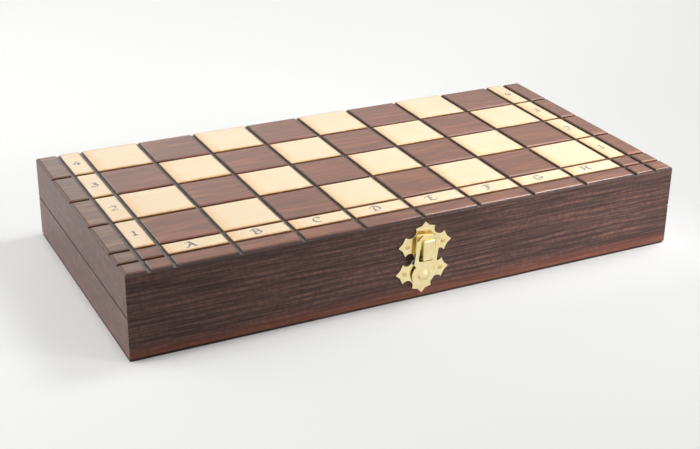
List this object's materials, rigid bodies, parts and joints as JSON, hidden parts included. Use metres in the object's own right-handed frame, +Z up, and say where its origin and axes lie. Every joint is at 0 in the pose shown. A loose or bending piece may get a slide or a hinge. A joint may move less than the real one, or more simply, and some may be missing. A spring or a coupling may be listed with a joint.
{
  "type": "chess box with hinged lid",
  "caption": "Folding chessboard that closes into a flat wooden box, with two trays, grooved playing faces, brass hinges and a brass hasp latch.",
  "frame": {"origin": "middle of the base's playing face, on which the closed box stands; the bounding box has its middle 1.7 mm nearer the front, because the latch stands out further than the hinges", "axes": "+X along the front from the A file to the H file, +Y towards the hinges, +Z up; the latch is at -Y"},
  "size_m": [0.304, 0.1596, 0.0446],
  "materials": {
    "dark_wood": "dark brown stain under satin varnish",
    "frame_wood": "dark brown stain under satin varnish, bare pale wood inside the trays",
    "light_wood": "clear satin varnish",
    "brass": "pale bright plating"
  },
  "bodies": {
    "base": {"base_front_wall": "frame_wood", "base_back_wall": "frame_wood", "base_left_wall": "frame_wood", "base_right_wall": "frame_wood", "base_panel": "dark_wood", "base_light_squares": "light_wood", "base_light_strips": "light_wood", "hinge_left_base_leaf": "brass", "hinge_right_base_leaf": "brass", "hinge_left_pin": "brass", "hinge_right_pin": "brass", "hinge_base_nails": "brass", "latch_base_plate": "brass", "latch_base_nails": "brass"},
    "lid": {"lid_front_wall": "frame_wood", "lid_back_wall": "frame_wood", "lid_left_wall": "frame_wood", "lid_right_wall": "frame_wood", "lid_panel": "dark_wood", "lid_light_squares": "light_wood", "lid_light_strips": "light_wood", "hinge_left_lid_leaf": "brass", "hinge_right_lid_leaf": "brass", "hinge_lid_nails": "brass", "latch_lid_plate": "brass", "latch_lid_nails": "brass"},
    "hasp": {"latch_hasp": "brass", "latch_rivet": "brass"}
  },
  "joints": [
    {"name": "lid_hinge", "type": "hinge", "parent": "base", "child": "lid", "pos_m": [0, 0.07615, 0.0223], "axis": [-1, 0, 0], "range_deg": [0, 180]},
    {"name": "hasp_tilt", "type": "hinge", "parent": "base", "child": "hasp", "pos_m": [-0.0002, -0.0769, 0.0072], "axis": [1, 0, 0], "range_deg": [0, 14], "stiffness_Nm_per_rad": 0.05}
  ]
}
